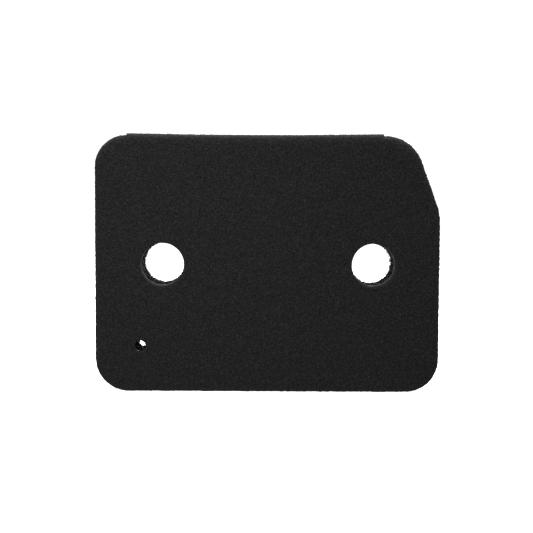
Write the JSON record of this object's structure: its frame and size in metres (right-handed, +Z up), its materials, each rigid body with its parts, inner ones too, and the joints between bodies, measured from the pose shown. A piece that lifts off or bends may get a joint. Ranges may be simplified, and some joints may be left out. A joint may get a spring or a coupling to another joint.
{
  "type": "foam air filter pad",
  "caption": "Flat rectangular air filter pad of fine and coarse foam bonded together, with rounded corners, a slanted corner and round holes right through.",
  "frame": {"origin": "middle of the pad's width and thickness, at the level of its bottom edge", "axes": "+X along the width, towards the side with the slanted corner, so seen from the fine front it points right; +Y through the thickness, from the fine front ply to the coarse back ply; +Z up the pad's height"},
  "size_m": [0.207, 0.015, 0.1551],
  "materials": {
    "fine_foam": "matt fine-pored polyurethane foam, near black",
    "coarse_foam": "open coarse-pored reticulated polyurethane foam, near black"
  },
  "bodies": {
    "root": {"fine_foam_ply": "fine_foam", "coarse_foam_ply": "coarse_foam"}
  },
  "joints": []
}
